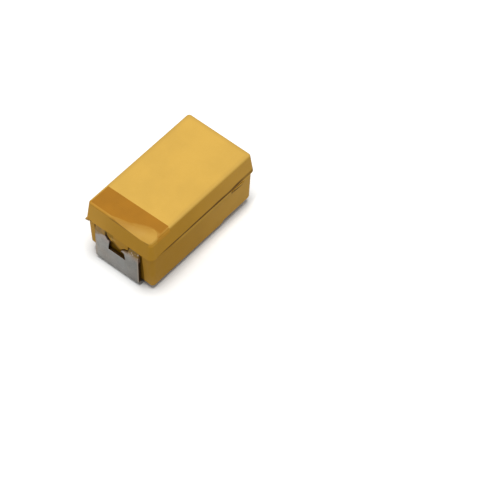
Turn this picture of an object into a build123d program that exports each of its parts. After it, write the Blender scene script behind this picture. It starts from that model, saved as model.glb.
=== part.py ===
from build123d import *
import math
import os

# Molded chip tantalum capacitor, 6032 case, in millimetres.
# Origin: centre of the footprint, on the board plane that the solder feet rest on.
# +X runs from the anode (band end) to the cathode, +Z points up from the board.

# Envelope
overall_length = 6.0        # over the outer faces of both terminals
overall_height = 2.8        # board plane to the top of the case
case_width = 3.35           # upper half at the parting plane
terminal_reach = 0.05       # outer face of each terminal beyond the parting edge of the case
parting_height = 1.9        # parting plane above the board
standoff = 0.17             # underside of the case above the board

# Mould details of the case
upper_draft = 7.0           # degrees, side walls above the parting plane
lower_draft = 3.0           # degrees, side walls below the parting plane
mould_step = 0.045          # upper half overhangs the lower half all round
mould_twist = 0.5           # degrees, lower half turned against the upper half
corner_radius = 0.24        # upright corners at the parting plane
top_edge_radius = 0.09
under_edge_radius = 0.09
heel_near_cut = 0.03        # bevel along the anode end's lower edge, at the near corner
heel_far_cut = 0.22         # the same at the far corner, along the underside
heel_far_height = 0.40      # and up the end wall there
worn_length = 2.15          # anode end's top edge is worn over this length from the near corner
worn_crest = 0.62           # where the wear is greatest, from that corner
worn_reach = 0.42           # how far it reaches in from the edge there
worn_drop = 0.11            # and how far down the end wall
worn_blend = 0.03           # both where it begins and ends, inside the plain edge radius
relief_height = 0.10        # shallow step of the underside at the cathode end
relief_length = 1.77        # from the end of the case to the riser of that step
ejector_diameter = 1.97     # round mark that the ejector pin left underneath
ejector_depth = 0.04
ejector_gap = 0.315         # between the mark and that riser
burr_reach = 0.29           # thin flash at one corner of the parting plane, from the corner's centre
burr_heel = 0.26            # its shorter edge, along the side of the case
burr_width = 0.20
burr_tip_width = 0.16
burr_thickness = 0.04
sliver_length = 0.64        # sliver of flash on one long side, just under the parting plane
sliver_height = 0.08
sliver_tip_height = 0.05
sliver_reach = 0.035        # how far it stands out from the lower side wall
sliver_drop = 0.09          # its upper edge below the parting plane
sliver_room = 0.67          # from its far end to the end of the case

# Polarity band, a thin marked field let into the top beside the anode end
band_width = 1.175          # from the end of the case
band_skew = 0.8             # degrees, lean of its inner edge
band_depth = 0.02
patch_length = 0.73         # bare tongue in the corner of the band, along X
patch_width = 2.22          # the same along Y

# Terminals, one strip of lead frame each
strip_thickness = 0.12
terminal_width = 2.15
foot_length = 1.3
exit_bend_radius = 0.16     # inside radius where the strip leaves the case
foot_bend_radius = 0.10     # inside radius above the foot
inner_bend_radius = 0.08    # inside radius of the bends within the case
anode_shift = 0.04          # sideways shift of the anode strip
pocket_gap = 0.04           # between each upright strip and the end wall behind it
pocket_side_gap = 0.10      # between its edges and the sides of the pocket
lead_clearance = 0.32       # between the inner end of the anode strip and the wire's washer
paddle_setback = 0.70       # inner end of the cathode strip behind the anode face of the pellet

# Window of the anode strip that leaves two legs at the exit bend
window_width = 0.86         # along the sill
window_waist = 0.74         # narrower at the neck
window_flare = 0.21         # how far each side opens out from the neck towards the bend
window_sill = 1.03          # lower edge above the board
window_neck_drop = 0.40     # where the flare begins, below the parting plane
window_shoulder_drop = 0.15  # where the flare ends, below the parting plane
window_depth = 0.57         # how far the window reaches in from the outer face
leg_tip_drop = 0.47         # ragged inner tip of the near leg, below the parting plane
leg_tip_reach = 0.15        # how far that tip stands into the window
leg_tip_height = 0.15       # from the tip up to the leg's upper edge
leg_tip_rise = 0.05         # fall of the tip's lower edge, and rise of the leg's upper edge

# Resin flash around the anode legs
tongue_gap = 0.05           # slit between the legs and the resin tongue
tongue_low = 0.52           # lowest place of the tongue's ragged edge, below the parting plane
tongue_middle = 0.47        # the same edge at the middle of the window
tongue_high = 0.32          # and beside the far leg
tongue_low_place = 0.10     # lowest place, sideways from the tip of the near leg
tongue_high_place = 0.17    # highest place, sideways from the far leg's neck

# Capacitor element
anode_room = 1.75           # outer face of the anode terminal to the pellet
cathode_room = 0.95         # pellet to the outer face of the cathode terminal
side_wall = 0.405           # resin beside the coated pellet, at the parting plane
top_wall = 0.22             # least resin above the coated pellet
bottom_wall = 0.31          # least resin under the cathode paddle, at the underside step
pellet_chamfer = 0.10
wire_diameter = 0.30
wire_weld_length = 0.60     # overlap of wire and anode strip
wire_weld_sink = 0.03       # how far the weld pressed the wire into the strip
wire_end_room = 0.90        # pellet left beyond the inner end of the wire
washer_diameter = 0.90
washer_thickness = 0.15
dioxide_thickness = 0.05
graphite_thickness = 0.03
silver_thickness = 0.04
coat_setback = 0.12         # each outer coat stops this far short of the one below
adhesive_thickness = 0.04
adhesive_margin = 0.075     # paddle left bare along each side of it
adhesive_height = 0.9       # how far it climbs the cathode end of the pellet

# Derived places
outer_face = overall_length / 2
case_end = outer_face - terminal_reach
case_length = 2 * case_end
relief_start = case_end - relief_length
strip_mid = strip_thickness / 2
strip_bottom = parting_height - strip_thickness
exit_outer_radius = exit_bend_radius + strip_thickness
wire_radius = wire_diameter / 2
wire_height = strip_bottom - wire_radius + wire_weld_sink
coats = dioxide_thickness + graphite_thickness + silver_thickness
pellet_start = anode_room - outer_face
pellet_end = outer_face - cathode_room
pellet_width = case_width - 2 * (side_wall + coats)
room_above = overall_height - top_wall - wire_height
room_below = wire_height - standoff - relief_height - bottom_wall - strip_thickness - adhesive_thickness
pellet_height = 2 * (min(room_above, room_below) - coats)
flash_angle = math.radians(10)          # where the flash ends on the bend, above its level
chamfer_growth = 2 - math.sqrt(2)       # keeps a coat even across a 45 degree chamfer
anode_lead_end = pellet_start - washer_thickness - lead_clearance
wire_start = anode_lead_end - wire_weld_length
paddle_top = wire_height - pellet_height / 2 - coats - adhesive_thickness
riser_face = pellet_end + coats + adhesive_thickness
cathode_paddle_end = pellet_start + paddle_setback


def block(x_low, x_high, width, z_low, z_high):
    """Plain box between two X places and two heights, centred on Y."""
    return Pos((x_low + x_high) / 2, 0, (z_low + z_high) / 2) * Box(x_high - x_low, width, z_high - z_low)


def drafted_half(length, width, height, draft, up):
    """One half of the case: a rounded block that narrows away from the parting plane."""
    plane = Plane(origin=(0, 0, parting_height), x_dir=(1, 0, 0), z_dir=(0, 0, up))
    return extrude(plane * RectangleRounded(length, width, corner_radius), amount=height, taper=draft)


def worn_section(y, reach, drop):
    """Corner outside a worn edge, which leaves the top at reach and meets the anode end wall at drop."""
    lean = math.radians(upper_draft)
    corner = (overall_height - parting_height) * math.tan(lean) - case_end
    on_top = (corner + reach, overall_height)
    on_wall = (corner - drop * math.sin(lean), overall_height - drop * math.cos(lean))
    outside = (corner - worn_reach, overall_height + worn_reach)
    edge = TangentArc(on_top, on_wall, tangent=(-1, 0))
    frame = Polyline(on_wall, (outside[0], on_wall[1]), outside, (on_top[0], outside[1]), on_top)
    return Plane.XZ.offset(-y) * make_face(edge + frame)


def worn_edge():
    """Cutter for the top edge of the anode end, which is worn down shallowly beside the near corner."""
    near = -case_width / 2
    start = worn_section(near + worn_length, worn_blend, worn_blend)
    crest = worn_section(near + worn_crest, worn_reach, worn_drop)
    return loft([start, crest, worn_section(near, worn_blend, worn_blend)], ruled=True)


def upper_half():
    """Case above the parting plane, with its top edges rounded."""
    half = drafted_half(case_length, case_width, overall_height - parting_height, upper_draft, 1)
    return fillet(half.faces().sort_by(Axis.Z)[-1].edges(), top_edge_radius) - worn_edge()


def underside_relief():
    """Wedge that lifts the underside at the cathode end, with a 45 degree riser."""
    low = standoff - relief_height
    profile = Polyline(
        (relief_start - relief_height, low),
        (relief_start + relief_height, standoff + relief_height),
        (case_length, standoff + relief_height),
        (case_length, low),
        close=True,
    )
    return extrude(Plane.XZ * make_face(profile), amount=case_width, both=True)


def terminal_pockets():
    """Shallow pockets that keep both end walls clear of the upright strips."""
    wall = outer_face - strip_thickness - pocket_gap
    width = terminal_width + 2 * pocket_side_gap
    pocket = block(wall, wall + case_length, width, 0, parting_height)
    return Pos(0, anode_shift, 0) * pocket.mirror(Plane.YZ) + pocket


def heel_plane():
    """Plane of the bevel under the anode end, which deepens towards the far corner."""
    inset = mould_step + (parting_height - standoff) * math.tan(math.radians(lower_draft))
    end = inset - case_end
    side = case_width / 2 - inset
    near = Vector(end + heel_near_cut, -side, standoff)
    far = Vector(end + heel_far_cut, side, standoff)
    raised = Vector(end, side, standoff + heel_far_height)
    return Plane(origin=near, x_dir=far - near, z_dir=(far - near).cross(raised - near))


def lower_half():
    """Case below the parting plane: drafted walls, underside step, heel bevel and ejector mark."""
    height = parting_height - standoff
    half = drafted_half(case_length - 2 * mould_step, case_width - 2 * mould_step, height, lower_draft, -1)
    half -= underside_relief()
    walls = half.faces().filter_by(lambda face: abs(face.normal_at().Z) < math.sin(math.radians(2 * lower_draft)))
    rim = [edge for edge in walls.edges() if edge.bounding_box().max.Z < parting_height - height / 2]
    half = split(fillet(rim, under_edge_radius), heel_plane(), keep=Keep.TOP)
    ejector_x = relief_start - ejector_gap - ejector_diameter / 2
    half -= Pos(ejector_x, 0, standoff) * Cylinder(ejector_diameter / 2, 2 * ejector_depth)
    return half.rotate(Axis.Z, mould_twist) - terminal_pockets()


def corner_burr():
    """Thin pointed flash at the anode end, on the far corner of the parting plane."""
    centre = Vector(corner_radius - case_end, case_width / 2 - corner_radius, parting_height)
    points = [(0, 0), (0, burr_width), (-burr_reach, burr_tip_width), (-burr_heel, 0)]
    fin = make_face(Polyline(*points, close=True))
    return extrude(Pos(centre) * fin, amount=burr_thickness / 2, both=True)


def side_sliver():
    """Sliver of flash along the near side wall, tapered towards the cathode end."""
    far = case_end - sliver_room
    near = far - sliver_length
    top = parting_height - sliver_drop
    outline = Polyline(
        (near, top), (near, top - sliver_height), (far, top - sliver_tip_height), (far, top),
        close=True,
    )
    wall = case_width / 2 - mould_step
    return extrude(Plane.XZ.offset(wall - sliver_reach) * make_face(outline), amount=2 * sliver_reach)


def strip(points, radii):
    """Bent strip of lead frame along a centre line given as (x, z) points."""
    path = FilletPolyline(*points, radius=radii)
    return extrude(Plane.XZ * trace(path, strip_thickness), amount=terminal_width / 2, both=True)


def outside_run(side):
    """Centre line points from the parting plane round to the tip of the foot."""
    wall = side * (outer_face - strip_mid)
    tip = side * (outer_face - foot_length)
    return [(wall, parting_height - strip_mid), (wall, strip_mid), (tip, strip_mid)]


def window_sides():
    """Far and near side of the window, from the sill up, as (y, z) from the middle of the strip."""
    sill = window_width / 2
    waist = window_waist / 2
    high = waist + window_flare
    top = parting_height + strip_thickness
    tip = parting_height - leg_tip_drop
    neck = parting_height - window_neck_drop
    shoulder = parting_height - window_shoulder_drop
    edge = tip + leg_tip_height
    far = [(sill, window_sill), (waist, neck), (high, shoulder), (high, top)]
    near = [(-sill, window_sill), (-waist, tip - leg_tip_rise), (leg_tip_reach - waist, tip)]
    near += [(-waist, edge), (-high, edge + leg_tip_rise), (-high, top)]
    return far, near


def window():
    """Cutter for the opening between the two anode legs, flared towards the bend."""
    far, near = window_sides()
    face = make_face(Polyline(*far, *reversed(near), close=True))
    return extrude(Plane.YZ.offset(-outer_face) * face, amount=window_depth, both=True)


def anode_terminal(wire):
    """Positive terminal: foot, two legs and the inner lead that the wire is welded to."""
    points = [(anode_lead_end, parting_height - strip_mid)] + outside_run(-1)
    radii = [exit_bend_radius + strip_mid, foot_bend_radius + strip_mid]
    return Pos(0, anode_shift, 0) * (strip(points, radii) - window()) - wire


def cathode_terminal():
    """Negative terminal: foot, exit bend, and a cranked paddle under the pellet."""
    paddle = paddle_top - strip_mid
    riser = riser_face + strip_mid
    points = [(cathode_paddle_end, paddle), (riser, paddle), (riser, parting_height - strip_mid)]
    inner = inner_bend_radius + strip_mid
    radii = [inner, inner, exit_bend_radius + strip_mid, foot_bend_radius + strip_mid]
    return strip(points + outside_run(1), radii)


def anode_wire():
    """Tantalum wire from the weld into the pellet."""
    length = pellet_end - wire_end_room - wire_start
    middle = wire_start + length / 2
    return Pos(middle, 0, wire_height) * Rot(0, 90, 0) * Cylinder(wire_radius, length)


def element_block(growth, start=None):
    """Outer form of the element with its coats, grown evenly and cut off at start."""
    low = pellet_start - growth
    body = Pos(0, 0, wire_height) * block(
        low, pellet_end + growth, pellet_width + 2 * growth,
        -pellet_height / 2 - growth, pellet_height / 2 + growth,
    )
    body = chamfer(body.edges(), pellet_chamfer + growth * chamfer_growth)
    if start is None:
        return body
    return split(body, Plane.YZ.offset(start), keep=Keep.TOP)


def washer_disc():
    """Insulating washer on the wire, seated on the anode face of the pellet."""
    middle = pellet_start - washer_thickness / 2
    return Pos(middle, 0, wire_height) * Rot(0, 90, 0) * Cylinder(washer_diameter / 2, washer_thickness)


def adhesive(element, terminal):
    """Silver adhesive between the coated element and the cathode paddle and riser."""
    width = terminal_width - 2 * adhesive_margin
    film = block(cathode_paddle_end, riser_face, width, paddle_top, paddle_top + adhesive_height)
    return film - element - terminal


def resin_tongue():
    """Resin that ran through the window and hangs between the anode legs, a slit away from them."""
    far, near = window_sides()
    neck, shoulder = far[1:3]
    tip, edge, corner = near[2:5]
    gap = tongue_gap
    top = parting_height
    outline = Polyline(
        (shoulder[0] - gap, top), (shoulder[0] - gap, shoulder[1] + gap / 2), (neck[0] - gap, neck[1] + gap),
        (neck[0] - tongue_high_place, top - tongue_high), (0, top - tongue_middle),
        (tip[0] + tongue_low_place, top - tongue_low), (tip[0] + gap / 2, tip[1] + gap),
        (edge[0], edge[1] + gap), (corner[0] + gap, corner[1] + gap), (corner[0] + gap, top),
        close=True,
    )
    face = Plane.YZ.offset(-case_end) * Pos(anode_shift, 0) * make_face(outline)
    return extrude(face, amount=case_end - outer_face + 2 * strip_thickness + pocket_gap)


def leg_flash():
    """Resin over the bend of one anode leg, from the end wall down to the face of the leg."""
    low = window_waist / 2 + window_flare
    centre = (-outer_face + exit_outer_radius, parting_height - exit_outer_radius)
    reach = exit_outer_radius * math.cos(flash_angle)
    foot = (centre[0] - reach, centre[1] + exit_outer_radius * math.sin(flash_angle))
    corner = make_face(Polyline((-case_end, parting_height), foot, centre, (centre[0], parting_height), close=True))
    corner -= Pos(*centre) * Circle(exit_outer_radius)
    width = terminal_width / 2 - low
    return Pos(0, anode_shift + terminal_width / 2, 0) * extrude(Plane.XZ * corner, amount=width)


def top_slab():
    """Skin of the flat top, one band depth thick."""
    return extrude(upper_half().faces().sort_by(Axis.Z)[-1], amount=-band_depth)


def bare_patch():
    """Unmarked tongue that runs into the band from the outer corner of the case."""
    corner = Pos(-case_end, -case_width / 2, overall_height)
    edge = [(0, 1), (0.2, 1), (0.43, 0.77), (0.54, 0.57), (0.73, 0.38), (1, 0.22)]
    edge += [(0.87, 0.12), (0.52, 0.04), (0.4, 0)]
    points = [(x * patch_length, y * patch_width) for x, y in edge]
    outline = Line(points[0], points[1]) + Spline(*points[1:]) + Polyline(points[-1], (0, 0), points[0])
    return extrude(corner * make_face(outline), amount=band_depth, both=True)


def polarity_band():
    """Marked field beside the anode end, flush with the top of the case."""
    inner_edge = band_width - case_end
    field = block(inner_edge - case_length, inner_edge, 2 * case_width, 0, overall_height)
    pivot = Pos(inner_edge, 0, 0)
    field = pivot * Rot(0, 0, band_skew) * pivot.inverse() * field
    return top_slab() & field - bare_patch()


def build():
    """All pieces by node name."""
    wire = anode_wire()
    washer = washer_disc() - wire
    pellet = element_block(0) - wire
    dioxide_form = element_block(dioxide_thickness)
    graphite_growth = dioxide_thickness + graphite_thickness
    graphite_start = pellet_start - dioxide_thickness + coat_setback
    graphite_form = element_block(graphite_growth, graphite_start)
    silver_form = element_block(coats, graphite_start + coat_setback)
    anode = anode_terminal(wire)
    cathode = cathode_terminal()
    glue = adhesive(silver_form, cathode)
    band = polarity_band()
    case = upper_half() + lower_half() + corner_burr() + side_sliver() + resin_tongue() + leg_flash()
    for piece in (dioxide_form, graphite_form, silver_form, washer, wire, glue, anode, cathode, band):
        case -= piece
    return {
        "molded_case": case,
        "polarity_band": band,
        "anode_terminal": anode,
        "cathode_terminal": cathode,
        "tantalum_pellet": pellet,
        "anode_wire": wire,
        "wire_washer": washer,
        "manganese_dioxide_coat": dioxide_form - element_block(0) - washer_disc(),
        "graphite_coat": graphite_form - dioxide_form,
        "silver_coat": silver_form - graphite_form,
        "silver_adhesive": glue,
    }


os.makedirs("parts", exist_ok=True)
for name, piece in build().items():
    export_step(piece, f"parts/{name}.step")
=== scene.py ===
"""Molded chip tantalum capacitor, dressed with procedural finishes and set on a plain studio floor."""

import bpy
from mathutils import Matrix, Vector


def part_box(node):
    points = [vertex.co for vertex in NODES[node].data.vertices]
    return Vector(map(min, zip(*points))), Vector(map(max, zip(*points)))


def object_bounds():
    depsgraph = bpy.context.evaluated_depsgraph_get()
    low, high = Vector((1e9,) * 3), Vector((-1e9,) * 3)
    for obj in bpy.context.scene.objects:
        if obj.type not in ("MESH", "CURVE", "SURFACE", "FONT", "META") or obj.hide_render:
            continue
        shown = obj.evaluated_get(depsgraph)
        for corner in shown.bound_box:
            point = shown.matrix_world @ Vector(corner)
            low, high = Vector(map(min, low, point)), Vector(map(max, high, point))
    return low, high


bl_info = {
    "name": "Chip Tantalum Capacitor",
    "version": (1, 0, 0),
    "blender": (4, 5, 0),
    "location": "3D View > Sidebar > Capacitor",
    "description": "Finishes a molded chip tantalum capacitor and sets it on a studio floor",
    "category": "Object",
}

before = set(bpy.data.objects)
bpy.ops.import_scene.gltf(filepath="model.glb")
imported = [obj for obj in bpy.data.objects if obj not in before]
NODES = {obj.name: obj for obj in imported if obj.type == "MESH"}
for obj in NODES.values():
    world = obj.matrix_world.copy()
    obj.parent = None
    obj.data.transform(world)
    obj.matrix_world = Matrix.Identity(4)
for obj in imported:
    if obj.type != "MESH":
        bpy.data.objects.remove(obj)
cad_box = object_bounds()

MM = 0.001
CENTRE = (cad_box[0] + cad_box[1]) / 2
_, CASE_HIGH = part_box("molded_case")
BAND_LOW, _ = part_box("polarity_band")
ANODE_LOW, ANODE_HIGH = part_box("anode_terminal")
_, CATHODE_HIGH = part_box("cathode_terminal")

# Places on the capacitor, in millimetres, as the materials read them. The anode end is at -X,
# and the strips leave the case at the parting plane, which is their highest place.
TOP = CASE_HIGH.z / MM
PARTING = CATHODE_HIGH.z / MM
OUTER_FACE = CATHODE_HIGH.x / MM
BAND_SIDE = BAND_LOW.y / MM
ANODE_MIDDLE = (ANODE_LOW.y + ANODE_HIGH.y) / 2 / MM
CATHODE_MIDDLE = 0.0
STRIP_EDGE = (ANODE_HIGH.y - ANODE_LOW.y) / 2 / MM

# Tones that the resin shades into, in linear colour: wear, dirt, and painted light, shade and highlights.
CATHODE_LIT_WALL = (0.67, 0.382, 0.065, 1)
LIT_END_WALL = (0.63, 0.335, 0.042, 1)
BOUNCE_LIT_WALL = (0.62, 0.34, 0.060, 1)
SHADED_TOP_BORDER = (0.39, 0.232, 0.042, 1)
FILLER = (0.78, 0.55, 0.22, 1)
PIT = (0.20, 0.10, 0.02, 1)
SHADED_END_RIM = (0.395, 0.192, 0.020, 1)
ROLLED_SIDE_HIGHLIGHT = (0.62, 0.285, 0.018, 1)
ROLLED_CORNER_HIGHLIGHT = (0.69, 0.366, 0.035, 1)
LEG_SMEAR = (0.27, 0.18, 0.085, 1)
BURR = (0.20, 0.125, 0.045, 1)
TONGUE_EDGE_SHADE = (0.20, 0.10, 0.012, 1)
SLIT_SHADE = (0.24, 0.135, 0.008, 1)
LIP_HIGHLIGHT = (0.62, 0.42, 0.16, 1)
PARTING_HIGHLIGHT = (0.80, 0.47, 0.06, 1)
POCKET_SHADE = (0.200, 0.098, 0.003, 1)

# Tones of the marked field.
BAND_GRAIN = (0.50, 0.27, 0.07, 1)
BAND_ROW = (0.20, 0.085, 0.006, 1)

# Tones of the tin and of what sticks to it, and of the painted light, highlights and shade on it.
TIN_GRAIN = (0.30, 0.29, 0.28, 1)
WARM_TIN = (0.56, 0.50, 0.46, 1)
COLD_TIN = (0.44, 0.47, 0.50, 1)
CREASE = (0.72, 0.69, 0.67, 1)
FOOT_SPOT = (0.16, 0.15, 0.15, 1)
FLOOR_LIT_TIN = (0.85, 0.84, 0.82, 1)
SHADED_TIN = (0.20, 0.20, 0.195, 1)
ROLLED_TIN_HIGHLIGHT = (0.60, 0.52, 0.44, 1)
CUT_EDGE = (0.070, 0.034, 0.004, 1)
LIT_TIN_TOP = (0.66, 0.55, 0.52, 1)
RESIN_FILM = (0.36, 0.225, 0.060, 1)
FLECK = (0.72, 0.60, 0.52, 1)
TIP_DIRT = (0.16, 0.085, 0.018, 1)

# Painted light for the floor beside the near wall.
FLOOR_PAINTED_LIGHT = (0.99, 0.985, 0.97, 1)

FLOOR_SIZE = 400 * MM
KEY_PLACE = Vector((-2, 2, 150)) * MM
KEY_SIZE = 90 * MM
SENSOR_WIDTH = 36  # in millimetres, as cameras give it
NEAR_CLIP = 1 * MM


# ---------------------------------------------------------------- settings


class CapacitorFinish(bpy.types.PropertyGroup):
    """Colours and surface of the capacitor's own pieces."""

    resin_colour: bpy.props.FloatVectorProperty(
        name="Resin", description="Molding resin of the walls", subtype="COLOR",
        size=4, min=0, max=1, default=(0.492, 0.250, 0.014, 1),
    )
    # Paler, less saturated copy of the resin for the top face: painted sheen of the overhead light.
    top_sheen_colour: bpy.props.FloatVectorProperty(
        name="Top", description="Paler, matte resin of the top face", subtype="COLOR",
        size=4, min=0, max=1, default=(0.472, 0.282, 0.048, 1),
    )
    # Painted shadow for the parting line and round the sliver of flash; the pockets and slits take tones of
    # their own.
    parting_shadow_colour: bpy.props.FloatVectorProperty(
        name="Stain", description="Dirt in the parting line, the pockets and the slits", subtype="COLOR",
        size=4, min=0, max=1, default=(0.078, 0.029, 0.001, 1),
    )
    band_colour: bpy.props.FloatVectorProperty(
        name="Polarity band", description="Marked resin beside the anode end", subtype="COLOR",
        size=4, min=0, max=1, default=(0.278, 0.115, 0.004, 1),
    )
    # The bare patch is painted darker than the top, standing for the shade on its rounding.
    bare_patch_colour: bpy.props.FloatVectorProperty(
        name="Bare patch", description="Unmarked, rubbed resin in the corner of the band", subtype="COLOR",
        size=4, min=0, max=1, default=(0.400, 0.224, 0.038, 1),
    )
    tin_colour: bpy.props.FloatVectorProperty(
        name="Tin", description="Matte tin plating of both terminals", subtype="COLOR",
        size=4, min=0, max=1, default=(0.55, 0.545, 0.535, 1),
    )
    resin_grain: bpy.props.FloatProperty(
        name="Resin grain", description="Height of the fine grain of the resin",
        subtype="DISTANCE", unit="LENGTH", min=0, default=0.0012 * MM, precision=7,
    )
    tin_grain: bpy.props.FloatProperty(
        name="Tin grain", description="Height of the grain of the plating",
        subtype="DISTANCE", unit="LENGTH", min=0, default=0.0015 * MM, precision=7,
    )


class CapacitorStage(bpy.types.PropertyGroup):
    """Floor, lights and camera."""

    floor_colour: bpy.props.FloatVectorProperty(
        name="Floor", description="Plain pale floor", subtype="COLOR",
        size=4, min=0, max=1, default=(0.80, 0.80, 0.79, 1),
    )
    bounce_colour: bpy.props.FloatVectorProperty(
        name="Floor bounce", description="Tone of the floor where it lights the capacitor from below",
        subtype="COLOR", size=4, min=0, max=1, default=(0.37, 0.36, 0.335, 1),
    )
    key_power: bpy.props.FloatProperty(
        name="Key light", description="Power of the soft light overhead",
        subtype="POWER", unit="POWER", min=0, default=0.275,
    )
    room_strength: bpy.props.FloatProperty(
        name="Room light", description="Strength of the even light all round", min=0, default=0.44,
    )
    lens: bpy.props.FloatProperty(
        name="Lens", description="Focal length of the camera, in millimetres", min=1, default=247.1,
    )
    camera_place: bpy.props.FloatVectorProperty(
        name="Camera", description="Place of the camera", subtype="TRANSLATION", unit="LENGTH",
        size=3, default=(-59.18 * MM, -54.83 * MM, 102.24 * MM),
    )
    camera_target: bpy.props.FloatVectorProperty(
        name="Target", description="Point on the floor that the camera looks at",
        subtype="TRANSLATION", unit="LENGTH", size=3, default=(1.010 * MM, -3.061 * MM, 0),
    )


# ---------------------------------------------------------------- shader groups


def new_group(name, inputs, outputs):
    """Empty node group. inputs give (name, socket type, default) and outputs (name, socket type)."""
    group = bpy.data.node_groups.new(name, "ShaderNodeTree")
    for label, kind, default in inputs:
        socket = group.interface.new_socket(name=label, in_out="INPUT", socket_type=kind)
        if default is not None:
            socket.default_value = default
    for label, kind in outputs:
        group.interface.new_socket(name=label, in_out="OUTPUT", socket_type=kind)
    entry = group.nodes.new("NodeGroupInput")
    leave = group.nodes.new("NodeGroupOutput")
    return group, entry.outputs, leave.inputs


def fill(tree, socket, value):
    """Links a socket to another, or sets it to a number or colour."""
    if isinstance(value, bpy.types.NodeSocket):
        tree.links.new(value, socket)
    else:
        socket.default_value = value


def math_node(tree, operation, *values, clamp=False):
    """Math node of one or two values."""
    node = tree.nodes.new("ShaderNodeMath")
    node.operation = operation
    node.use_clamp = clamp
    for socket, value in zip(node.inputs, values):
        fill(tree, socket, value)
    return node.outputs[0]


def plus(tree, a, b):
    """Sum of two values."""
    return math_node(tree, "ADD", a, b)


def minus(tree, a, b):
    """Difference of two values."""
    return math_node(tree, "SUBTRACT", a, b)


def times(tree, first, *others):
    """Product of several values."""
    for other in others:
        first = math_node(tree, "MULTIPLY", first, other)
    return first


def either(tree, a, b):
    """The stronger of two masks."""
    return math_node(tree, "MAXIMUM", a, b)


def distance_from(tree, value, middle):
    """Distance of a value from another."""
    return math_node(tree, "ABSOLUTE", minus(tree, value, middle))


def ranged(tree, value, low, high, to_low=0.0, to_high=1.0):
    """Smooth step of a value from one range to another."""
    node = tree.nodes.new("ShaderNodeMapRange")
    node.interpolation_type = "SMOOTHSTEP"
    fill(tree, node.inputs["Value"], value)
    fill(tree, node.inputs["From Min"], low)
    fill(tree, node.inputs["From Max"], high)
    fill(tree, node.inputs["To Min"], to_low)
    fill(tree, node.inputs["To Max"], to_high)
    return node.outputs["Result"]


def mixed(tree, factor, a, b, blend="MIX"):
    """Colour that goes from a to b as the factor rises."""
    node = tree.nodes.new("ShaderNodeMix")
    node.data_type = "RGBA"
    node.blend_type = blend
    # A colour mix has its factor at socket 0 and its two colours at sockets 6 and 7.
    for number, value in ((0, factor), (6, a), (7, b)):
        fill(tree, node.inputs[number], value)
    return node.outputs[2]


def noise(tree, vector, scale, detail=2.0, roughness=0.5):
    """Noise texture value at a scale per millimetre."""
    node = tree.nodes.new("ShaderNodeTexNoise")
    fill(tree, node.inputs["Vector"], vector)
    fill(tree, node.inputs["Scale"], scale)
    fill(tree, node.inputs["Detail"], detail)
    fill(tree, node.inputs["Roughness"], roughness)
    return node.outputs["Fac"]


def make_mottle_group():
    """Colour that drifts softly between a darker and a lighter tone."""
    group, given, made = new_group(
        "Soft mottle",
        [
            ("Place", "NodeSocketVector", None),
            ("Colour", "NodeSocketColor", (0.5, 0.5, 0.5, 1)),
            ("Scale", "NodeSocketFloat", 1.0),
            ("Amount", "NodeSocketFloat", 0.1),
        ],
        [("Colour", "NodeSocketColor")],
    )
    cloud = ranged(group, noise(group, given["Place"], given["Scale"], 3), 0.3, 0.7, -1.0, 1.0)
    gain = plus(group, times(group, cloud, given["Amount"]), 1.0)
    grey = group.nodes.new("ShaderNodeCombineColor")
    for channel in grey.inputs:
        fill(group, channel, gain)
    tinted = mixed(group, 1.0, given["Colour"], grey.outputs[0], "MULTIPLY")
    fill(group, made["Colour"], tinted)
    return group


def make_grain_group():
    """Fine grain: height for a bump, and a factor round one half for colour and roughness."""
    group, given, made = new_group(
        "Fine grain",
        [("Place", "NodeSocketVector", None), ("Scale", "NodeSocketFloat", 20.0)],
        [("Height", "NodeSocketFloat"), ("Factor", "NodeSocketFloat")],
    )
    coarse_per_fine = 0.23
    fine = noise(group, given["Place"], given["Scale"], 4, 0.6)
    coarse = noise(group, given["Place"], times(group, given["Scale"], coarse_per_fine), 2)
    fill(group, made["Height"], plus(group, fine, times(group, coarse, 0.5)))
    fill(group, made["Factor"], ranged(group, fine, 0.25, 0.75))
    return group


def make_speck_group():
    """Small round specks, scattered: a share of the cells has one."""
    group, given, made = new_group(
        "Specks",
        [
            ("Place", "NodeSocketVector", None),
            ("Scale", "NodeSocketFloat", 4.0),
            ("Size", "NodeSocketFloat", 0.15),
            ("Share", "NodeSocketFloat", 0.3),
        ],
        [("Mask", "NodeSocketFloat")],
    )
    cells = group.nodes.new("ShaderNodeTexVoronoi")
    fill(group, cells.inputs["Vector"], given["Place"])
    fill(group, cells.inputs["Scale"], given["Scale"])
    chance = group.nodes.new("ShaderNodeSeparateColor")
    fill(group, chance.inputs[0], cells.outputs["Color"])
    chosen = math_node(group, "LESS_THAN", chance.outputs[0], given["Share"])
    core = times(group, given["Size"], 0.5)
    speck = ranged(group, cells.outputs["Distance"], core, given["Size"], 1.0, 0.0)
    fill(group, made["Mask"], times(group, speck, chosen))
    return group


def make_line_group():
    """Line round one value, with soft and broken edges."""
    group, given, made = new_group(
        "Broken line",
        [
            ("Place", "NodeSocketVector", None),
            ("Value", "NodeSocketFloat", 0.0),
            ("Centre", "NodeSocketFloat", 0.0),
            ("Half width", "NodeSocketFloat", 0.1),
            ("Breakup", "NodeSocketFloat", 0.5),
            ("Scale", "NodeSocketFloat", 2.0),
        ],
        [("Mask", "NodeSocketFloat")],
    )
    full_swing = 4.0
    away = distance_from(group, given["Value"], given["Centre"])
    ratio = math_node(group, "DIVIDE", away, given["Half width"])
    wave = minus(group, noise(group, given["Place"], given["Scale"], 3), 0.5)
    swing = times(group, wave, given["Breakup"], full_swing)
    fill(group, made["Mask"], ranged(group, plus(group, ratio, swing), 0.4, 1.4, 1.0, 0.0))
    return group


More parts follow.
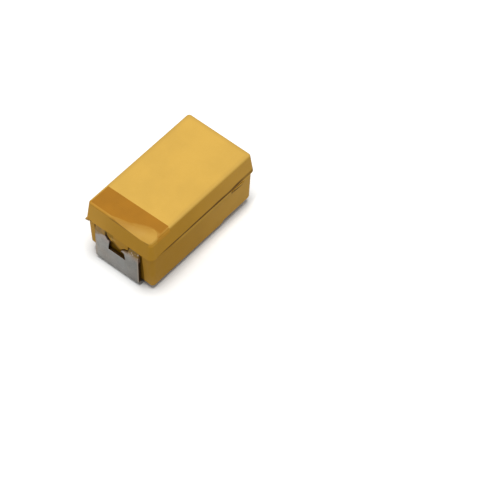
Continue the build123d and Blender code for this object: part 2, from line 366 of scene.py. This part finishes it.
def make_window_group():
    """One where a value lies between two others, with soft edges."""
    group, given, made = new_group(
        "Between",
        [
            ("Value", "NodeSocketFloat", 0.0),
            ("Low", "NodeSocketFloat", 0.0),
            ("High", "NodeSocketFloat", 1.0),
            ("Softness", "NodeSocketFloat", 0.01),
        ],
        [("Mask", "NodeSocketFloat")],
    )
    below = minus(group, given["Low"], given["Softness"])
    above = plus(group, given["High"], given["Softness"])
    rise = ranged(group, given["Value"], below, given["Low"])
    fall = ranged(group, given["Value"], given["High"], above, 1.0, 0.0)
    fill(group, made["Mask"], times(group, rise, fall))
    return group


def make_crease_group():
    """Thin wandering lines, like fine creases in a soft metal skin."""
    group, given, made = new_group(
        "Creases",
        [
            ("Place", "NodeSocketVector", None),
            ("Scale", "NodeSocketFloat", 1.5),
            ("Width", "NodeSocketFloat", 0.02),
        ],
        [("Mask", "NodeSocketFloat")],
    )
    wander = noise(group, given["Place"], given["Scale"], 3, 0.6)
    away = distance_from(group, wander, 0.5)
    fill(group, made["Mask"], ranged(group, away, 0.0, given["Width"], 1.0, 0.0))
    return group


GROUP_MAKERS = {
    "Between": make_window_group,
    "Broken line": make_line_group,
    "Creases": make_crease_group,
    "Fine grain": make_grain_group,
    "Soft mottle": make_mottle_group,
    "Specks": make_speck_group,
}


def use_group(tree, name, **values):
    """Places a shared group in a tree. Its inputs are given by name, with _ for a space."""
    node = tree.nodes.new("ShaderNodeGroup")
    node.node_tree = bpy.data.node_groups.get(name) or GROUP_MAKERS[name]()
    for key, value in values.items():
        fill(tree, node.inputs[key.replace("_", " ")], value)
    return node.outputs


# ---------------------------------------------------------------- masks


def rises(low, high, least=0.0, most=1.0):
    """Ramp that climbs between two places, in millimetres."""
    return low, high, least, most


def falls(low, high, most=1.0, least=0.0):
    """Ramp that drops between two places, in millimetres."""
    return low, high, most, least


def within(low, high, softness):
    """Window between two places, with soft edges, in millimetres."""
    return low, high, softness


def shaped(tree, value, shape):
    """Mask of a value, by a ramp or a window."""
    if len(shape) == 3:
        low, high, softness = shape
        return use_group(tree, "Between", Value=value, Low=low, High=high, Softness=softness)["Mask"]
    return ranged(tree, value, *shape)


# Height of a strip's upright part, over the bend of its foot.
ABOVE_FOOT = rises(0.16, 0.30)


def region(tree, places, *gains, **shapes):
    """Mask of a region: a ramp or window along each named place, times other masks or numbers."""
    masks = [shaped(tree, places[name], shape) for name, shape in shapes.items()]
    return times(tree, *masks, *gains)


def split_place(tree, place):
    """X, Y and Z of a place, by name."""
    node = tree.nodes.new("ShaderNodeSeparateXYZ")
    fill(tree, node.inputs[0], place)
    return dict(node.outputs.items())


# ---------------------------------------------------------------- finishes


def start_material(name, metallic=0.0, roughness=0.5, specular=0.5):
    """New material with its Principled shader, and its place in millimetres."""
    material = bpy.data.materials.new(name)
    material.use_nodes = True
    tree = material.node_tree
    shader = tree.nodes["Principled BSDF"]
    shader.inputs["Metallic"].default_value = metallic
    shader.inputs["Roughness"].default_value = roughness
    shader.inputs["Specular IOR Level"].default_value = specular
    coordinates = tree.nodes.new("ShaderNodeTexCoord")
    mapping = tree.nodes.new("ShaderNodeMapping")
    mapping.inputs["Scale"].default_value = (1 / MM,) * 3
    tree.links.new(coordinates.outputs["Object"], mapping.inputs["Vector"])
    return material, tree, shader, mapping.outputs[0]


def finish_surface(tree, shader, base, factor, roughness, height, depth):
    """Feeds the shader its colour, a roughness range that follows a factor, and a bump of a depth."""
    tree.links.new(base, shader.inputs["Base Color"])
    tree.links.new(ranged(tree, factor, 0, 1, *roughness), shader.inputs["Roughness"])
    bump = tree.nodes.new("ShaderNodeBump")
    bump.inputs["Strength"].default_value = 1.0
    bump.inputs["Distance"].default_value = depth
    tree.links.new(height, bump.inputs["Height"])
    tree.links.new(bump.outputs[0], shader.inputs["Normal"])


def dress(node_name, material):
    """Gives a CAD node its finish."""
    for slot in NODES[node_name].material_slots:
        slot.material = material


def band_side(tree, place, axes):
    """Distance across the soft edge between the bare patch and the band, positive in the band."""
    # The edge runs through this point, square to this direction.
    edge_x, edge_y = -2.577, -0.40
    towards_x, towards_y = 0.886, 0.463
    reach = 0.12
    along = times(tree, minus(tree, axes["X"], edge_x), towards_x)
    across = times(tree, minus(tree, axes["Y"], edge_y), towards_y)
    wander = times(tree, minus(tree, noise(tree, place, 2.5, 3, 0.6), 0.5), reach)
    return plus(tree, plus(tree, along, across), wander)


def parting_shadow(tree, place, axes):
    """Mask of the painted shadow in the parting line, under the sliver of flash and on the sliver's lower part.
    """
    # The line climbs and widens towards the cathode end.
    start, end = -2.4, 2.8
    level = ranged(tree, axes["X"], start, end, PARTING + 0.010, PARTING + 0.045)
    climb = ranged(tree, axes["X"], 1.3, 2.2, 0.0, 0.045)
    half_width = ranged(tree, axes["X"], start, end, 0.050, 0.075)
    line = use_group(
        tree, "Broken line", Place=place, Value=axes["Z"], Centre=plus(tree, level, climb),
        Half_width=half_width, Breakup=0.25, Scale=1.1,
    )["Mask"]
    near_wall = within(-2.0, -1.2, 0.1)
    sliver = region(
        tree, axes, Z=within(PARTING - 0.120, PARTING - 0.085, 0.008), X=within(1.64, 2.28, 0.03), Y=near_wall,
    )
    off_sliver = minus(tree, 1.0, sliver)
    towards_cathode = shaped(tree, axes["X"], falls(1.9, 2.4, 1.0, 0.62))
    line = region(tree, axes, towards_cathode, line, off_sliver, X=rises(-2.75, -1.9), Y=falls(-1.2, 1.2, 1.0, 0.5))

    # The painted shadow under the sliver sinks a little along the wall.
    mark_start, sink = 1.75, 0.12
    drop = times(tree, minus(tree, axes["X"], mark_start), sink)
    leaning = dict(axes, height=plus(tree, axes["Z"], drop))
    under_sliver = region(
        tree, leaning, shaped(tree, axes["X"], falls(1.95, 2.45)),
        height=within(PARTING - 0.305, PARTING - 0.130, 0.015), X=rises(1.60, 1.70), Y=near_wall,
    )
    # The sliver's lower part takes a little painted shade as well.
    return either(tree, line, either(tree, under_sliver, times(tree, sliver, 0.2)))


def parting_highlight(tree, axes):
    """Mask of the paler resin just under the parting line: a painted highlight, as of a ledge that catches the
    light.
    """
    places = dict(axes, away=distance_from(tree, axes["Z"], PARTING - 0.13))
    return region(tree, places, 0.5, away=falls(0.06, 0.16), X=rises(-1.9, -1.0))


def pocket_shade(tree, axes):
    """Mask of the pockets behind the upright strips, for the painted shade in them."""
    places = {
        "depth": math_node(tree, "ABSOLUTE", axes["X"]),
        "across": distance_from(tree, axes["Y"], ANODE_MIDDLE),
        "Z": axes["Z"],
    }
    return region(
        tree, places,
        depth=within(OUTER_FACE - 0.30, OUTER_FACE - 0.145, 0.012),
        across=within(-1.0, STRIP_EDGE + 0.105, 0.02),
        Z=within(0.1, PARTING - 0.015, 0.02),
    )


def plain_resin(tree, axes, finish):
    """Resin colour of the top and of the walls, before any wear, with painted light and shade: a sheen copy of
    the resin on the top, paler walls towards the cathode end, on the anode end and near the floor, and shade
    along the edges of the top.
    """
    flat_top = shaped(tree, axes["Z"], rises(TOP - 0.10, TOP - 0.02))
    on_wall = minus(tree, 1.0, flat_top)
    # The top takes the paler copy of the resin: painted sheen of the overhead light.
    plain = mixed(tree, flat_top, tuple(finish.resin_colour), tuple(finish.top_sheen_colour))
    # Walls grow paler and yellower towards the cathode end, most below the parting line: painted light.
    cathode_end_light = region(tree, axes, on_wall, X=rises(-1.8, 3.0), Z=falls(PARTING - 0.05, PARTING + 0.1, 1.0, 0.65))
    plain = mixed(tree, cathode_end_light, plain, CATHODE_LIT_WALL)
    # The anode end wall is paler and cooler, most towards +Y: painted light.
    lit_anode_end = region(tree, axes, on_wall, X=falls(-2.71, -2.62), Y=rises(-0.4, 1.5, 0.12))
    plain = mixed(tree, lit_anode_end, plain, LIT_END_WALL)
    # Walls grow paler towards the floor, most at the anode end: painted bounce light from the floor.
    low = region(tree, axes, Z=falls(0.2, 1.0), X=falls(-2.75, -2.2, 0.65, 0.35))
    plain = mixed(tree, low, plain, BOUNCE_LIT_WALL)
    # Painted shade along the edges of the top, where it rounds into the walls.
    shaded_top_border = either(
        tree,
        shaped(tree, distance_from(tree, axes["Y"], 0.0), rises(1.32, 1.52)),
        shaped(tree, distance_from(tree, axes["X"], 0.0), rises(2.60, 2.80)),
    )
    return mixed(tree, times(tree, shaded_top_border, flat_top, 0.6), plain, SHADED_TOP_BORDER)


def band_edge_wear_and_light(tree, place, axes, base, finish):
    """Colours the worn resin round the band: the bare patch, painted darker for the shade on its rounding; the
    end rim, painted darker to tone down its highlight; and a painted highlight along the rounded near edge.
    """
    band_colour = tuple(finish.band_colour)
    from_patch = band_side(tree, place, axes)
    near_end = falls(-2.35, -2.0)

    patch = region(tree, axes, X=near_end, Y=falls(0.3, 0.6), Z=rises(TOP - 0.113, TOP - 0.106))
    # Painted shade: the bare patch is darker than the top.
    base = mixed(tree, times(tree, patch, 0.9), base, tuple(finish.bare_patch_colour))
    tint = either(
        tree,
        shaped(tree, from_patch, rises(-0.42, -0.03, 0.0, 0.45)),
        shaped(tree, axes["Y"], rises(-0.7, 0.3, 0.0, 0.35)),
    )
    base = mixed(tree, times(tree, patch, tint), base, band_colour)
    # Painted shade along the rounding at the end's top, toning down its highlight.
    shaded_end_rim = region(
        tree, axes, 0.9, Z=rises(TOP - 0.085, TOP - 0.05), X=falls(-2.72, -2.70), Y=rises(0.2, 0.75),
    )
    base = mixed(tree, shaded_end_rim, base, SHADED_END_RIM)

    along_band = shaped(tree, axes["X"], falls(-1.80, -1.79))
    rim_low, rim_high = TOP - 0.060, TOP - 0.035
    # Painted highlight along the rounded near edge under the band, palest at the corner.
    rolled_highlight = region(
        tree, axes, along_band, shaped(tree, axes["Z"], falls(rim_low, rim_high)),
        Y=falls(-1.50, -1.42), Z=rises(TOP - 0.25, TOP - 0.17),
    )
    corner_start, corner_end = -2.45, -2.55
    base = mixed(tree, region(tree, axes, rolled_highlight, 0.70, X=rises(corner_end, corner_start)), base, ROLLED_SIDE_HIGHLIGHT)
    base = mixed(tree, region(tree, axes, rolled_highlight, 0.60, X=falls(corner_end, corner_start)), base, ROLLED_CORNER_HIGHLIGHT)

    beside_band = region(
        tree, axes, along_band, 0.7,
        X=rises(-2.50, -2.36), Y=falls(BAND_SIDE - 0.004, BAND_SIDE + 0.006), Z=rises(rim_low, rim_high),
    )
    beside_patch = region(
        tree, axes, shaped(tree, from_patch, rises(-0.10, 0.02)),
        X=near_end, Z=rises(TOP - 0.03, TOP - 0.005), Y=falls(-1.1, 0.3, 0.55, 0.25),
    )
    return mixed(tree, either(tree, beside_patch, beside_band), base, band_colour)


def exit_stains_and_shade(tree, place, axes, base):
    """Colours the resin where the anode strip leaves the case: smears, the burr, painted shade along the
    tongue's lower edge and over the slit, and a painted highlight on the resin edge next to the slit.
    """
    smear = ranged(tree, noise(tree, place, 7.0, 3, 0.6), 0.3, 0.6, 0.5, 0.9)
    over_leg = region(
        tree, axes, smear,
        X=within(-3.2, -2.88, 0.03), Y=within(0.55, 1.2, 0.03), Z=within(1.5, PARTING - 0.02, 0.05),
    )
    base = mixed(tree, over_leg, base, LEG_SMEAR)
    burr = region(
        tree, axes, 0.8,
        X=falls(-2.93, -2.88), Y=rises(1.28, 1.36), Z=within(PARTING - 0.06, PARTING + 0.03, 0.01),
    )
    base = mixed(tree, burr, base, BURR)

    sideways = minus(tree, axes["Y"], ANODE_MIDDLE)
    slanted = minus(tree, axes["Z"], times(tree, sideways, 0.625))
    places = dict(axes, sideways=sideways, slanted=slanted)
    at_exit = falls(-2.84, -2.80)
    # Painted shade along the tongue's lower edge.
    tongue_edge_shade = region(
        tree, places, X=at_exit, sideways=within(-0.20, 0.24, 0.03), slanted=falls(1.49, 1.60, 0.6),
    )
    base = mixed(tree, tongue_edge_shade, base, TONGUE_EDGE_SHADE)
    over_slit = region(
        tree, places, 0.55, X=at_exit, sideways=within(0.22, 0.60, 0.06), Z=within(1.74, PARTING + 0.03, 0.03),
    )
    base = mixed(tree, over_slit, base, SLIT_SHADE)
    # Painted highlight on the resin edge next to the slit.
    lip_highlight = region(tree, places, 0.4, X=at_exit, sideways=within(0.12, 0.30, 0.04), Z=within(1.67, 1.75, 0.03))
    return mixed(tree, lip_highlight, base, LIP_HIGHLIGHT)


def resin_material(finish):
    """Golden molding resin: mottle, filler grain, pits, a worn anode edge, a painted highlight under the
    parting line, painted shade in the pockets and painted shadow in the parting line.
    """
    material, tree, shader, place = start_material("molding resin", roughness=0.5, specular=0.12)
    axes = split_place(tree, place)
    base = use_group(
        tree, "Soft mottle", Place=place, Colour=plain_resin(tree, axes, finish), Scale=0.9, Amount=0.035,
    )["Colour"]
    grain = use_group(tree, "Fine grain", Place=place, Scale=26.0)
    base = mixed(tree, times(tree, grain["Factor"], 0.06), base, FILLER)
    pits = use_group(tree, "Specks", Place=place, Scale=3.1, Size=0.05, Share=0.22)["Mask"]
    base = mixed(tree, times(tree, pits, 0.45), base, PIT)
    base = band_edge_wear_and_light(tree, place, axes, base, finish)
    base = exit_stains_and_shade(tree, place, axes, base)
    # Painted highlight just under the parting line.
    base = mixed(tree, parting_highlight(tree, axes), base, PARTING_HIGHLIGHT)
    # Painted shade in the pockets behind the strips.
    base = mixed(tree, times(tree, pocket_shade(tree, axes), 0.96), base, POCKET_SHADE)
    # Painted shadow along the parting line and under the sliver of flash.
    base = mixed(tree, times(tree, parting_shadow(tree, place, axes), 0.86), base, tuple(finish.parting_shadow_colour))
    pitted = minus(tree, grain["Height"], times(tree, pits, 3.0))
    finish_surface(tree, shader, base, grain["Factor"], (0.46, 0.60), pitted, finish.resin_grain)
    return material


def band_material(finish):
    """Marked field: darker resin with the fine raster of the marking, worn soft beside the bare patch."""
    material, tree, shader, place = start_material("marked resin", roughness=0.55, specular=0.12)
    axes = split_place(tree, place)
    base = use_group(
        tree, "Soft mottle", Place=place, Colour=tuple(finish.band_colour), Scale=1.6, Amount=0.05,
    )["Colour"]
    grain = use_group(tree, "Fine grain", Place=place, Scale=30.0)
    base = mixed(tree, times(tree, grain["Factor"], 0.08), base, BAND_GRAIN)
    rows = tree.nodes.new("ShaderNodeTexWave")
    rows.bands_direction = "X"
    rows.inputs["Scale"].default_value = 4.0
    rows.inputs["Distortion"].default_value = 0.6
    rows.inputs["Detail"].default_value = 1.0
    tree.links.new(place, rows.inputs["Vector"])
    base = mixed(tree, times(tree, rows.outputs["Fac"], 0.10), base, BAND_ROW)
    places = dict(axes, from_patch=band_side(tree, place, axes))
    fade = region(
        tree, places, from_patch=falls(-0.02, 0.13, 0.5), X=falls(-2.30, -2.15), Y=falls(0.0, 0.4, 1.0, 0.3),
    )
    base = mixed(tree, fade, base, tuple(finish.bare_patch_colour))
    raster = plus(tree, grain["Height"], times(tree, rows.outputs["Fac"], 0.8))
    finish_surface(tree, shader, base, grain["Factor"], (0.50, 0.62), raster, finish.resin_grain)
    return material


def strip_places(tree, place, middle, legs):
    """Places on a strip: its axes, its depth from the middle of the case, its width and its ragged height."""
    places = split_place(tree, place)
    ragged = minus(tree, noise(tree, place, 3.0, 4, 0.6), 0.5)
    sideways = minus(tree, places["Y"], middle)
    places["sideways"] = sideways
    places["across"] = distance_from(tree, places["Y"], middle)
    places["depth"] = math_node(tree, "ABSOLUTE", places["X"])
    places["height"] = plus(tree, places["Z"], times(tree, ragged, 0.5))
    if legs:
        # The film's edge on the far leg and the slit next to it, with its dirt and painted shade, both run
        # aslant.
        film_slant, slit_slant = 0.63, 0.84
        uneven = plus(tree, places["Z"], times(tree, ragged, 0.15))
        places["slanted"] = plus(tree, uneven, times(tree, sideways, film_slant))
        places["leaning"] = minus(tree, sideways, times(tree, places["Z"], slit_slant))
    return places


def plated_tin(tree, place, places, finish, grain, creases):
    """Colour of the plating: cloudy, with warm and cold drifts, pale creases and dark spots on the foot."""
    base = use_group(
        tree, "Soft mottle", Place=place, Colour=tuple(finish.tin_colour), Scale=2.2, Amount=0.14,
    )["Colour"]
    base = mixed(tree, times(tree, grain, 0.30), base, TIN_GRAIN)
    warm = ranged(tree, noise(tree, place, 1.3, 2), 0.42, 0.62)
    base = mixed(tree, times(tree, warm, 0.35), base, WARM_TIN)
    cold = ranged(tree, noise(tree, place, 0.9, 2), 0.50, 0.66)
    base = mixed(tree, times(tree, cold, 0.35), base, COLD_TIN)
    base = mixed(tree, times(tree, creases, 0.30), base, CREASE)
    spots = use_group(tree, "Specks", Place=place, Scale=5.0, Size=0.20, Share=0.45)["Mask"]
    return mixed(tree, region(tree, places, spots, 0.7, Z=falls(0.13, 0.30, 1.0, 0.25)), base, FOOT_SPOT)


def cut_edges(tree, places):
    """Mask of the bare cut edges of a strip above its foot, at its sides and in its window."""
    sides = region(tree, places, across=rises(STRIP_EDGE - 0.005, STRIP_EDGE - 0.001), Z=ABOVE_FOOT)
    window = region(
        tree, places, depth=within(OUTER_FACE - 0.140, OUTER_FACE - 0.006, 0.003), Z=within(0.30, 1.80, 0.02),
    )
    return either(tree, sides, window)


def resin_film(tree, places, legs):
    """Mask of the thin resin that the molding left on the upper bend."""
    if not legs:
        return region(tree, places, 0.3, height=rises(PARTING - 0.32, PARTING - 0.12))
    far_leg = region(tree, places, 0.85, slanted=rises(2.05, 2.15), sideways=rises(0.30, 0.40))
    near_leg = region(tree, places, 0.9, height=rises(1.36, 1.74), sideways=falls(-0.30, -0.20))
    return either(tree, far_leg, near_leg)


def tin_material(finish, name, middle, legs):
    """Matte tin plating of a strip: cloudy, creased, with resin on its bend, painted light on the foot's bend
    and the upper part, painted highlights along the edges, painted shade to one side, and cut edges darkened
    partly as bare metal and partly as a painted reflection of the shaded pocket.
    """
    material, tree, shader, place = start_material(name, roughness=0.5)
    places = strip_places(tree, place, middle, legs)
    grain = use_group(tree, "Fine grain", Place=place, Scale=18.0)
    creases = use_group(tree, "Creases", Place=place, Scale=1.7, Width=0.02)["Mask"]
    base = plated_tin(tree, place, places, finish, grain["Factor"], creases)

    # Painted light: the foot's bend is paler where the floor lights it.
    floor_lit_heel = region(tree, places, 0.8, Z=falls(0.02, 0.17), depth=rises(OUTER_FACE - 0.16, OUTER_FACE - 0.10))
    base = mixed(tree, floor_lit_heel, base, FLOOR_LIT_TIN)
    shade = shaped(tree, places["sideways"], falls(-STRIP_EDGE, -0.1, 0.45))
    base = mixed(tree, shade, base, SHADED_TIN)
    # Painted highlight along the edges of the strip.
    rolled_highlight = region(tree, places, 0.7, across=rises(STRIP_EDGE - 0.080, STRIP_EDGE - 0.050), Z=ABOVE_FOOT)
    base = mixed(tree, rolled_highlight, base, ROLLED_TIN_HIGHLIGHT)
    # Cut edges darken, partly as bare base metal and partly as a painted reflection of the shaded pocket.
    cut = cut_edges(tree, places)
    base = mixed(tree, times(tree, cut, 0.98), base, CUT_EDGE)

    # Painted light on the upper part of the strip, below the exit.
    worn = region(tree, places, 0.5, height=rises(PARTING - 0.62, PARTING - 0.36))
    base = mixed(tree, worn, base, LIT_TIN_TOP)
    film = resin_film(tree, places, legs)
    base = mixed(tree, film, base, RESIN_FILM)
    flecks = use_group(tree, "Specks", Place=place, Scale=8.0, Size=0.34, Share=0.55)["Mask"]
    flecks = region(tree, places, flecks, 0.75, height=rises(PARTING - 0.50, PARTING - 0.20))
    base = mixed(tree, flecks, base, FLECK)
    metal = minus(tree, 0.85, times(tree, film, 0.75))
    if legs:
        # The slit next to the far leg darkens: dirt and painted shade.
        slit_dirt_and_shade = region(
            tree, places, 0.8,
            Z=within(1.56, 1.76, 0.03), leaning=falls(-0.860, -0.835), sideways=rises(0.30, 0.34),
        )
        base = mixed(tree, slit_dirt_and_shade, base, CUT_EDGE)
        tip_dirt = region(
            tree, places, shaped(tree, places["sideways"], rises(-0.61, -0.55)), 0.75,
            sideways=falls(-0.20, -0.10), Z=rises(1.50, 1.56),
        )
        base = mixed(tree, tip_dirt, base, TIP_DIRT)
        metal = minus(tree, metal, times(tree, tip_dirt, 0.6))
        cut = either(tree, cut, slit_dirt_and_shade)
    # The darkened edges and slit are metallic as well, because a pale gloss would hide how dark they are.
    tree.links.new(math_node(tree, "MAXIMUM", metal, cut, clamp=True), shader.inputs["Metallic"])
    creased = plus(tree, grain["Height"], times(tree, creases, 1.5))
    finish_surface(tree, shader, base, grain["Factor"], (0.42, 0.62), creased, finish.tin_grain)
    return material


def inner_material(name, colour, roughness, metallic, scale, height, mottle=0.08, dark=None):
    """Finish of an inner piece: a mottled, grained surface."""
    material, tree, shader, place = start_material(name, metallic=metallic, roughness=roughness)
    base = use_group(tree, "Soft mottle", Place=place, Colour=colour, Scale=2.5, Amount=mottle)["Colour"]
    grain = use_group(tree, "Fine grain", Place=place, Scale=scale)
    if dark:
        base = mixed(tree, times(tree, grain["Factor"], 0.5), base, dark)
    rough = (roughness - 0.08, roughness + 0.1)
    finish_surface(tree, shader, base, grain["Factor"], rough, grain["Height"], height)
    return material


# ---------------------------------------------------------------- operators


class CAPACITOR_OT_case(bpy.types.Operator):
    """Gives the molded case its resin."""

    bl_idname = "capacitor.case"
    bl_label = "Molded case"
    bl_options = {"REGISTER", "UNDO"}

    def execute(self, context):
        dress("molded_case", resin_material(context.scene.capacitor_finish))
        return {"FINISHED"}


class CAPACITOR_OT_band(bpy.types.Operator):
    """Gives the polarity band its marked resin."""

    bl_idname = "capacitor.band"
    bl_label = "Polarity band"
    bl_options = {"REGISTER", "UNDO"}

    def execute(self, context):
        dress("polarity_band", band_material(context.scene.capacitor_finish))
        return {"FINISHED"}


class CAPACITOR_OT_terminals(bpy.types.Operator):
    """Gives both terminals their tin plating."""

    bl_idname = "capacitor.terminals"
    bl_label = "Terminals"
    bl_options = {"REGISTER", "UNDO"}

    def execute(self, context):
        finish = context.scene.capacitor_finish
        dress("anode_terminal", tin_material(finish, "matte tin, anode", ANODE_MIDDLE, True))
        dress("cathode_terminal", tin_material(finish, "matte tin, cathode", CATHODE_MIDDLE, False))
        return {"FINISHED"}


class CAPACITOR_OT_element(bpy.types.Operator):
    """Gives the sintered pellet, its wire, washer, coats and adhesive their finishes."""

    bl_idname = "capacitor.element"
    bl_label = "Inner element"
    bl_options = {"REGISTER", "UNDO"}

    def execute(self, context):
        fine = 0.002 * MM
        coarse = 0.006 * MM
        finishes = {
            "tantalum_pellet": inner_material(
                "sintered tantalum", (0.16, 0.16, 0.17, 1), roughness=0.75, metallic=0.5,
                scale=40, height=coarse, dark=(0.05, 0.05, 0.06, 1),
            ),
            "anode_wire": inner_material(
                "drawn tantalum", (0.42, 0.43, 0.46, 1), roughness=0.32, metallic=1.0,
                scale=30, height=fine,
            ),
            "wire_washer": inner_material(
                "white washer", (0.82, 0.82, 0.79, 1), roughness=0.45, metallic=0.0,
                scale=12, height=fine, mottle=0.03,
            ),
            "manganese_dioxide_coat": inner_material(
                "manganese dioxide", (0.030, 0.026, 0.024, 1), roughness=0.8, metallic=0.0,
                scale=24, height=coarse, dark=(0.012, 0.010, 0.010, 1),
            ),
            "graphite_coat": inner_material(
                "graphite", (0.07, 0.07, 0.075, 1), roughness=0.42, metallic=0.35,
                scale=16, height=fine,
            ),
            "silver_coat": inner_material(
                "silver paint", (0.66, 0.65, 0.62, 1), roughness=0.5, metallic=0.75,
                scale=22, height=coarse, dark=(0.45, 0.44, 0.42, 1),
            ),
            "silver_adhesive": inner_material(
                "silver adhesive", (0.56, 0.55, 0.53, 1), roughness=0.62, metallic=0.6,
                scale=14, height=coarse, dark=(0.38, 0.37, 0.36, 1),
            ),
        }
        for name, material in finishes.items():
            dress(name, material)
        return {"FINISHED"}


class CAPACITOR_OT_stage(bpy.types.Operator):
    """Lays the floor and sets the lights and the camera."""

    bl_idname = "capacitor.stage"
    bl_label = "Stage"
    bl_options = {"REGISTER", "UNDO"}

    def execute(self, context):
        stage = context.scene.capacitor_stage
        add_floor(stage)
        add_lights(context.scene, stage)
        add_camera(context.scene, stage)
        return {"FINISHED"}


def add_floor(stage):
    """Wide pale floor under the solder feet, with painted light beside the near wall that thins the contact
    shadow there.
    """
    bpy.ops.object.select_all(action="DESELECT")
    bpy.ops.mesh.primitive_plane_add(size=FLOOR_SIZE, location=(CENTRE.x, CENTRE.y, 0))
    floor = bpy.context.object
    floor.name = "floor"
    bpy.ops.object.transform_apply(location=True, rotation=False, scale=False)
    material, tree, shader, place = start_material("pale floor", roughness=0.9, specular=0.1)
    base = use_group(
        tree, "Soft mottle", Place=place, Colour=tuple(stage.floor_colour), Scale=0.05, Amount=0.01,
    )["Colour"]
    axes = split_place(tree, place)
    up_to_part = shaped(tree, axes["Y"], falls(-1.7, -1.5))
    up_to_end = shaped(tree, axes["X"], falls(3.1, 3.6))
    # Painted light on the floor beside the near wall.
    beside = region(tree, axes, up_to_part, up_to_end, Y=rises(-2.35, -1.75), X=rises(-2.0, 1.5))
    base = mixed(tree, beside, base, FLOOR_PAINTED_LIGHT)
    rays = tree.nodes.new("ShaderNodeLightPath")
    base = mixed(tree, rays.outputs["Is Camera Ray"], tuple(stage.bounce_colour), base)
    tree.links.new(base, shader.inputs["Base Color"])
    floor.data.materials.append(material)


def add_lights(scene, stage):
    """One large soft light overhead, and an even room."""
    data = bpy.data.lights.new("key", "AREA")
    data.shape = "SQUARE"
    data.size = KEY_SIZE
    data.energy = stage.key_power
    key = bpy.data.objects.new("key", data)
    key.location = KEY_PLACE
    key.rotation_euler = (CENTRE - key.location).to_track_quat("-Z", "Y").to_euler()
    scene.collection.objects.link(key)

    room = bpy.data.worlds.new("room")
    room.use_nodes = True
    background = room.node_tree.nodes["Background"]
    background.inputs["Color"].default_value = (1, 1, 1, 1)
    background.inputs["Strength"].default_value = stage.room_strength
    scene.world = room
    scene.view_settings.view_transform = "Standard"


def add_camera(scene, stage):
    """Camera that looks down at the anode end."""
    data = bpy.data.cameras.new("camera")
    data.lens = stage.lens
    data.sensor_width = SENSOR_WIDTH
    data.clip_start = NEAR_CLIP
    camera = bpy.data.objects.new("camera", data)
    camera.location = Vector(stage.camera_place)
    camera.rotation_euler = (Vector(stage.camera_target) - camera.location).to_track_quat("-Z", "Y").to_euler()
    scene.collection.objects.link(camera)
    scene.camera = camera


class CAPACITOR_PT_panel(bpy.types.Panel):
    """Lists the capacitor's settings and steps."""

    bl_label = "Chip tantalum capacitor"
    bl_idname = "CAPACITOR_PT_panel"
    bl_space_type = "VIEW_3D"
    bl_region_type = "UI"
    bl_category = "Capacitor"

    def draw(self, context):
        for settings in (context.scene.capacitor_finish, context.scene.capacitor_stage):
            box = self.layout.box()
            for name in settings.bl_rna.properties.keys():
                if name not in ("rna_type", "name"):
                    box.prop(settings, name)
        for operator in OPERATORS:
            self.layout.operator(operator.bl_idname)


OPERATORS = (
    CAPACITOR_OT_case,
    CAPACITOR_OT_band,
    CAPACITOR_OT_terminals,
    CAPACITOR_OT_element,
    CAPACITOR_OT_stage,
)
CLASSES = (CapacitorFinish, CapacitorStage) + OPERATORS + (CAPACITOR_PT_panel,)


def register():
    """Registers the classes and hangs the settings on the scene."""
    for cls in CLASSES:
        bpy.utils.register_class(cls)
    bpy.types.Scene.capacitor_finish = bpy.props.PointerProperty(type=CapacitorFinish)
    bpy.types.Scene.capacitor_stage = bpy.props.PointerProperty(type=CapacitorStage)


def unregister():
    """Takes the settings and the classes away again."""
    del bpy.types.Scene.capacitor_stage
    del bpy.types.Scene.capacitor_finish
    for cls in reversed(CLASSES):
        bpy.utils.unregister_class(cls)


def main():
    """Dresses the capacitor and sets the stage."""
    register()
    bpy.ops.capacitor.case()
    bpy.ops.capacitor.band()
    bpy.ops.capacitor.terminals()
    bpy.ops.capacitor.element()
    bpy.ops.capacitor.stage()


if __name__ == "__main__":
    main()
